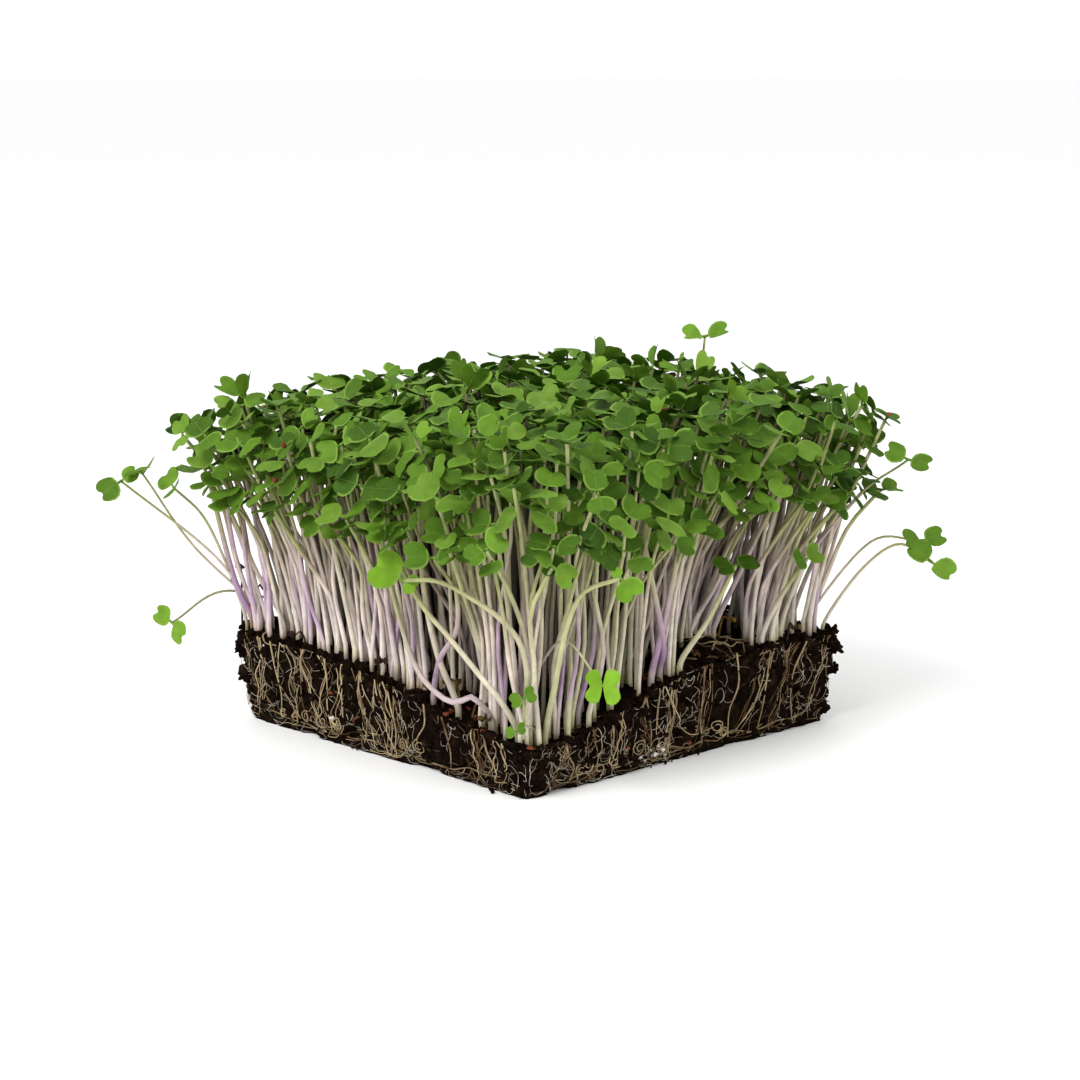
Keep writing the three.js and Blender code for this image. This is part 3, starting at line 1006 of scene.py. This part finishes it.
def filler(crowding, row, col, i):
    """One of those that grow round a seedling of the model, or none where the corner is too near."""
    m = FIRST_FILLER + 8 * (row * PER_ROW + col) + i
    around = toward(2 * pi * (i + 0.42 * draw(m, 17)) / BETWEEN + 0.6)
    spot = Vector((*plot(row, col), 0)) + around * (3.6 + 1.5 * draw(m, 18))
    reach = row_reach(spot.y) if spot.x > 0 else 1
    edge_x, edge_y = EDGE - 2.5 * abs(draw(m, 112)), EDGE - 2.5 * abs(draw(m, 113))
    x, y = clamp(spot.x * reach, -edge_x, edge_x), clamp(spot.y, -edge_y, edge_y)
    if off_corner(x, y) > 9.5:
        return None
    x, y = clear_ground(x, y)
    # One in six leans across its neighbours.
    wander = 8.5 if draw(m, 109) > 0.67 else 3.0
    crown_x = SPREAD * spot.x + CROWN_SHIFT + wander * draw(m, 19)
    crown_y = SPREAD * spot.y + CROWN_SHIFT + wander * draw(m, 20)
    edge = clamp((max(abs(crown_x), abs(crown_y)) - 46) / 20)
    low, high = -11 - 13 * edge, 7 - 3 * edge
    outward = Vector((crown_x, crown_y, 0)).normalized()
    root = ground(x, y)
    young = draw(m, 110) > 0.84

    def trial(k):
        c = 40 * m + k
        lift = low + (high - low) * even(c, 21) + (2.5 if young else 0)
        tilt, way = 0.85 * draw(c, 23), pi * draw(c, 24)
        faces = Vector((tilt * cos(way), tilt * sin(way), 1))
        faces += outward * (0.12 + edge * (0.55 + 0.6 * draw(c, 25)))
        return dict(
            n=m, root=root, crown=Vector((crown_x, crown_y, crown_level(crown_x, crown_y) + lift)),
            faces=faces.normalized(), points=toward(pi * draw(c, 22)),
            size=(0.62 if young else 0.82) + 0.16 * draw(m, 26), young=young,
            lime=clamp((0.28 if young else 0.10) + 0.14 * draw(m, 27), 0, 0.7),
            # Low leaves inside the canopy get a darker tone: painted shade of the leaves above.
            deeper=clamp(-0.03 * lift, -0.1, 0.35) * (1 - edge),
            group=half_row(row, col < PER_ROW // 2),
        )

    return best_of(crowding, trial, 14)


def border_seedling(crowding, side, storey, i):
    """A shorter one along a side, whose leaves hang out under the canopy's edge."""
    many, lowest, vary, hang = BORDER[storey]
    turn = turned(side * pi / 2)
    m = FIRST_BORDER + 200 * side + 100 * storey + i
    along = clamp(EDGE * (2 * (i + 0.5 + 1.1 * draw(m, 17)) / many - 1), -EDGE, EDGE)
    foot = turn @ Vector((along, -EDGE + 4 + 4 * draw(m, 18), 0))
    if foot.x > 0:
        foot.x *= row_reach(foot.y)
    if off_corner(foot.x, foot.y) > 9:
        return None
    x, y = clear_ground(foot.x, foot.y)
    beyond = SIDE / 2 + hang + 3 * draw(m, 19)
    over = turn @ Vector((1.10 * along + 3.5 * draw(m, 20), -beyond, 0))
    row = clamp(round(y / ROW_PITCH + (ROWS - 1) / 2), 0, ROWS - 1)
    root = ground(x, y)
    from_front = clamp(hypot(x - SIDE / 2, y + SIDE / 2) / SIDE)

    def trial(k):
        c = 40 * m + k
        height = lowest + vary * even(c, 21) + 9 * storey * from_front
        heading = pi * draw(c, 22)
        faces = turn @ Vector((0.5 * draw(c, 23), -0.7 - 0.5 * draw(c, 24), 0.75))
        return dict(
            n=m, root=root, crown=Vector((over.x, over.y, height)), faces=faces.normalized(),
            points=turn @ Vector((cos(heading), 0, sin(heading))),
            size=0.82 + 0.16 * draw(m, 26), lime=clamp(0.10 + 0.2 * draw(m, 27), 0, 0.6),
            group=half_row(row, x < 0),
        )

    return best_of(crowding, trial, 16)


def wanderer(n, group, root, bends, crown, faces, points, size=0.9, lime=0.2, **more):
    return dict(
        n=n, group=group, root=ground(*root), bends=bends, crown=Vector(crown),
        faces=Vector(faces).normalized(), points=Vector(points), size=size, lime=lime,
        **{"thick": 0.8, "lilac": 0.0, **more},
    )


# Seedlings that lean, loop or arch over the others along the two front faces, and late sprouts.
WANDERERS = [
    wanderer(
        1301, "01_east", (54.5, -54), [(58, -59, 37), (53, -61, 45), (43, -63, 50), (33, -65, 53)],
        (22, -67, 52), (0.5, -0.8, 0.4), (-0.69, -0.6, 0.5), size=1.05, lime=0.8, partner=0.5,
    ),
    wanderer(
        1302, "01_east", (43, -56),
        [(41, -60.5, 24), (36, -62, 22), (30, -62.5, 23), (22, -62.5, 28), (15, -62, 39)],
        (10, -65, 62), (0, -0.4, 0.9), (0.8, 0.3, 0), size=0.8, lilac=0.5,
    ),
    wanderer(
        1303, "01_east", (22, -57), [(29, -61, 32), (37, -62, 43)],
        (36, -64, 65), (0.3, -0.5, 0.8), (0.8, 0.5, 0), size=0.85, lilac=0.7,
    ),
    wanderer(
        1304, "01_east", (51, -55), [(50, -60, 25), (45, -61.5, 30), (35, -62.5, 38), (24, -64, 47)],
        (17, -67, 61), (-0.2, -0.6, 0.8), (-0.6, 0.3, 0.3), size=0.85, lime=0.4,
    ),
    wanderer(
        1305, "02_east", (56, -50), [(62.5, -53, 30), (65, -52, 43), (68, -49, 53)],
        (75, -43, 57), (0.6, -0.6, 0.4), (0.5, 0.3, -0.8), size=0.75, lime=0.6, partner=0.45,
    ),
    wanderer(
        1306, "06_east", (58, -3), [(61.5, 3, 37)],
        (63, 12, 51), (0.4, -0.3, 0.8), (0.4, 0.8, 0.2), size=0.75, lime=0.15,
    ),
    wanderer(
        1307, "12_east", (57, 56), [(64, 63, 43), (71, 70, 50)],
        (80, 73, 46), (0.6, -0.4, 0.7), (0.7, 0.3, -0.5), size=0.9, lime=0.2, thick=0.5,
    ),
    wanderer(
        1308, "01_west", (-57, -57), [(-61, -61, 45), (-65, -65, 57)],
        (-70, -71, 65), (-0.2, -0.6, 0.7), (0.6, -0.6, 0.1), size=0.8, lime=0.3, thick=0.5,
    ),
    wanderer(
        1309, "02_east", (36, -50), [(38, -55, 60)],
        (41, -60, 92), (0.2, -0.5, 0.8), (0.6, 0.7, 0.1), size=0.85,
    ),
    wanderer(
        1310, "01_east", (53.5, -54.5), [(56, -58.5, 17.5)],
        (57, -61, 18.5), (0.5, -0.7, 0.5), (0.7, 0.7, 0.3), size=0.34, lime=0.2, thick=0.45,
    ),
    wanderer(
        1311, "01_east", (54.5, -52), [(57, -58, 20)],
        (58.5, -60, 27), (0.5, -0.7, 0.5), (0.6, 0.5, 0.4), size=0.42, lime=0.15, thick=0.45,
    ),
    wanderer(
        1313, "05_east", (57, -13), [(60, -12, 38)],
        (62, -6, 66), (0.5, -0.4, 0.7), (0.3, 0.9, 0.1), size=0.8, thick=0.9, lilac=0.8,
    ),
    wanderer(
        1314, "05_east", (56, -9), [(60, -12, 34)],
        (61, -20, 60), (0.5, -0.5, 0.6), (0.6, 0.6, 0.1), size=0.8, thick=0.9, lilac=0.9,
    ),
    wanderer(
        1315, "06_east", (55, -5), [(58, -3, 45)],
        (62, 2, 70), (0.5, -0.4, 0.7), (0.2, 0.9, 0.1), size=0.85, thick=0.9, lilac=0.6,
    ),
    wanderer(
        1316, "01_west", (-54, -57), [(-58, -60, 40)],
        (-63, -64, 66), (-0.2, -0.6, 0.7), (0.8, -0.3, 0.1), size=0.85, thick=0.9, lilac=0.9,
    ),
    wanderer(
        1317, "01_east", (31, -57), [(28, -61, 33), (24, -62, 50)],
        (22, -62, 70), (0.1, -0.6, 0.7), (0.9, 0.2, 0.1), size=0.85, thick=0.85, lilac=0.1,
    ),
    wanderer(
        1318, "01_west", (-55, -55), [(-61, -64, 46)],
        (-79, -82, 67), (0.5, -0.7, 0.6), (-0.5, -0.5, -0.6), size=0.9, lime=0.25, thick=0.45, partner=0.7,
    ),
    wanderer(
        1312, "09_east", (57, 30), [(60, 33, 38)],
        (64, 39, 49), (0.7, -0.3, 0.6), (0.3, 0.8, 0.3), size=0.6, lime=0.25,
    ),
]


# Round here most stems are a pale green rather than cream.
PALE_GREEN = {"x": 55, "y": -32, "reach": 24}


def add_stem(bm, seedling):
    n = seedling["n"]
    thick = seedling.get("thick", 0.66 + 0.13 * draw(n, 28))
    if "node" in seedling:
        thick = 0.44
    lilac = seedling.get("lilac", clamp(1.1 * draw(n, 29) - 0.15, 0.14, 0.85))
    root = seedling["root"]
    off = hypot(root.x - PALE_GREEN["x"], root.y - PALE_GREEN["y"]) / PALE_GREEN["reach"]
    fresh = clamp(0.12 + 0.7 * exp(-off * off) + 0.35 * draw(n, 30), 0, 0.85)
    # How far inside the block the root stands sets the painted shade of its stem.
    painted_inner_shade = clamp((SIDE / 2 - max(abs(root.x), abs(root.y)) - 8) / 15)
    marks = {"lilac": lilac, "fresh": fresh, "painted_inner_shade": painted_inner_shade}
    tube = BENT_STEM if "bends" in seedling else STRAIGHT_STEM
    lay_tube(bm, tube, stem_line(seedling), lambda t: thick * (1.04 - 0.34 * t), marks, "rise")


def add_leaves(bm, seedling):
    n, size = seedling["n"], seedling["size"]
    crown, faces, broad = seedling["crown"], seedling["faces"], seedling.get("broad", 1.0)
    across = faces.cross(seedling["points"]).normalized()
    ahead = across.cross(faces)
    for k, sense in enumerate((1, -1)):
        m = 2 * n + k
        rise = tan(radians(LEAF_RISE)) + (0.30 if n >= FIRST_FILLER else 0.03) * draw(m, 31)
        fold = 0.22 + 0.26 * draw(m, 32)
        if seedling.get("young"):
            rise, fold = 0.95 + 0.3 * draw(m, 31), 0.6
        curl = 0.014 + 0.022 * draw(m, 33)
        twist = 0.30 * draw(m, 34)
        wave = 0.42 * draw(m, 37)
        length = size * (1 + 0.08 * draw(m, 35)) / sqrt(broad)
        width = size * (1 + 0.08 * draw(m, 38)) * broad
        tone = clamp(0.48 + 0.50 * draw(m, 36) - seedling.get("deeper", 0))
        notch = seedling.get("notch", 0.07 + 0.08 * draw(m, 39))
        meet = seedling.get("meet", 0)
        if sense < 0:
            length, width = length * seedling.get("partner", 1), width * seedling.get("partner", 1)

        def place(co):
            at_tip = clamp((co.x - 4) / 4) * exp(-((co.y / 1.4) ** 2))
            on_blade = clamp((co.x - 0.9) / 2.2)
            x = (co.x - notch * BLADE_LENGTH * at_tip - meet * max(on_blade, 0.5)) * length
            y, z = co.y * width, co.z
            lift = rise * x * (1.25 - 0.5 * x / LEAF_REACH) + fold * abs(y) * on_blade
            lift -= curl * (y * y + 0.6 * (x - 5) ** 2) * on_blade
            lift += (twist * y + wave * sin(0.9 * x + 3 * wave) * abs(y) * 0.4) * on_blade
            return crown + ahead * x * sense + across * y * sense + faces * (z + lift)

        def each(i, co):
            return {"rim": RIMS[i], "blade_x": co.x - BLADE_START, "blade_y": co.y}

        copy_into(bm, BLADE, place, {"tone": tone, "lime": seedling["lime"]}, each)


def make_seedlings():
    crowding = Crowding()
    stand = [model_seedling(row, col) for row in range(ROWS) for col in range(PER_ROW)]
    for seedling in stand + WANDERERS:
        crowding.add(seedling)
    spots = [(border_seedling, side, k, i) for side in range(4) for k in (0, 1) for i in range(BORDER[k][0])]
    spots += [(filler, *spot) for spot in itertools.product(range(ROWS), range(PER_ROW), range(BETWEEN))]
    for grow, *spot in spots:
        seedling = grow(crowding, *spot)
        if seedling:
            crowding.add(seedling)
            stand.append(seedling)
    stand += WANDERERS
    leaf_marks = ("rim", "blade_x", "blade_y", "tone", "lime")
    for group in sorted({s["group"] for s in stand}):
        stems = new_piece("rise", "lilac", "fresh", "painted_inner_shade")
        leaves = new_piece(*leaf_marks)
        for seedling in (s for s in stand if s["group"] == group):
            add_stem(stems, seedling)
            if "node" in seedling:
                apart = new_piece(*leaf_marks)
                add_leaves(apart, seedling)
                name = seedling["node"].replace("stray_leaves", "stray_pair")
                finish_piece(apart, name, LEAF, [seedling["node"]])
            else:
                add_leaves(leaves, seedling)
        finish_piece(stems, "seedling_stems_" + group, STEM, ["stems_" + group])
        finish_piece(leaves, "seed_leaves_" + group, LEAF, ["leaves_" + group])
    return stand


# Where a seedling failed, the way it fell in degrees, how tall it stands and how yellow it is still.
FAILED = [
    (20, -54, -70, 5, 0.3), (27, -52, 200, 7, 0.5), (-53, -58, 150, 7, 1.2), (52, -50, -40, 5, 0.0),
    (35, -56, 20, 5, 0.3), (57, -2, 60, 5, 0.1), (48, 22, 10, 6, 0.4), (-30, -57, -100, 4, 0.0),
    (42, -57, -50, 5, 0.1), (-58, -57.5, 140, 17, 0.0), (-57, -54, 100, 11, 0.0), (0, -57, -30, 5, 0.0),
    (24, -56, 40, 7, 0.1), (-55, 40, 170, 6, 0.2), (10, 57, 80, 5, 0.0), (57, 40, -20, 5, 0.0),
]


def make_failed():
    """Seedlings that failed: bent over, brown and shrivelled."""
    failed = new_piece("shade")
    for i, (x, y, heading, tall, yellow) in enumerate(FAILED):
        root = ground(x, y)
        ahead = toward(radians(heading))
        across = UP.cross(ahead)
        line = [
            root - UP * 2, root + UP * 0.4 * tall + ahead * 0.6,
            root + UP * tall + ahead * 1.8, root + UP * (tall - 0.8) + ahead * 3.4,
        ]
        marks = {"shade": yellow}
        lay_tube(failed, WILTED_STEM, line, lambda t: 0.36 - 0.12 * t, marks)
        end = line[-1]
        for sense in (1, -1):

            def place(co):
                x, y = 0.30 * co.x, 0.22 * co.y
                droop = -0.12 * x * x + 0.9 * abs(y) + 0.35 * sin(2.9 * x + 1.7 * y + i)
                return end + ahead * (x * 0.6) + across * (sense * 0.5 * x + y) + UP * (0.9 * co.z + droop)

            copy_into(failed, BLADE, place, marks)
    finish_piece(failed, "failed_seedlings", WILTED)


make_soil()
make_crumbs()
make_roots()
make_surface_roots()
stand = make_seedlings()
make_failed()
caught = [s for s in stand if s["n"] % 37 == 5 and s["n"] > FIRST_FILLER]
make_hulls([s["crown"] + s["faces"] * 0.9 for s in caught])

# Table, light and camera: this part is in metres.


def make_table():
    bm = bmesh.new()
    bmesh.ops.create_grid(bm, x_segments=1, y_segments=1, size=20)
    mesh = as_mesh(bm, "table")
    white = Finish("table_white", Roughness=0.7, Base_Color=(0.985, 0.985, 0.985, 1))
    mesh.materials.append(white.material)
    table = add_object("table", mesh)


def soft_light(name, location, size, power, target=(0, 0, 0.05)):
    light = bpy.data.lights.new(name, "AREA")
    light.shape = "DISK"
    light.size = size
    light.energy = power
    lamp = add_object(name, light)
    lamp.location = location
    aim = Vector(target) - Vector(location)
    lamp.rotation_euler = aim.to_track_quat("-Z", "Y").to_euler()


make_table()
soft_light("window_light", (0.15, -0.95, 1.05), 0.7, 12)
soft_light("fill_light", (1.15, 0.05, 0.55), 0.9, 2)

world = bpy.data.worlds.new("studio")
world.use_nodes = True
sky = world.node_tree.nodes["Background"].inputs
sky["Color"].default_value = (1, 1, 1, 1)
sky["Strength"].default_value = 1.0
bpy.context.scene.world = world
bpy.context.scene.view_settings.view_transform = "Standard"

# The camera stands where the photograph was taken from: degrees round and up, how far it is from the
# point it looks at, how high and how far aside that point is, and the focal length in pixels of the frame.
VIEW = {"round": 46.3, "up": 10.7, "away": 0.7, "height": 0.0505, "aside": 0.00116, "focal": 2541}
FRAME = 1080
SENSOR = 36


def make_camera():
    around, up = radians(VIEW["round"]), radians(VIEW["up"])
    back = Vector((sin(around) * cos(up), -cos(around) * cos(up), sin(up)))
    data = bpy.data.cameras.new("camera")
    data.sensor_width = SENSOR
    data.lens = SENSOR * VIEW["focal"] / FRAME
    data.clip_start = 0.01
    camera = add_object("camera", data)
    camera.location = UP * VIEW["height"] + toward(around) * VIEW["aside"] + back * VIEW["away"]
    camera.rotation_euler = (-back).to_track_quat("-Z", "Y").to_euler()
    bpy.context.scene.camera = camera


make_camera()
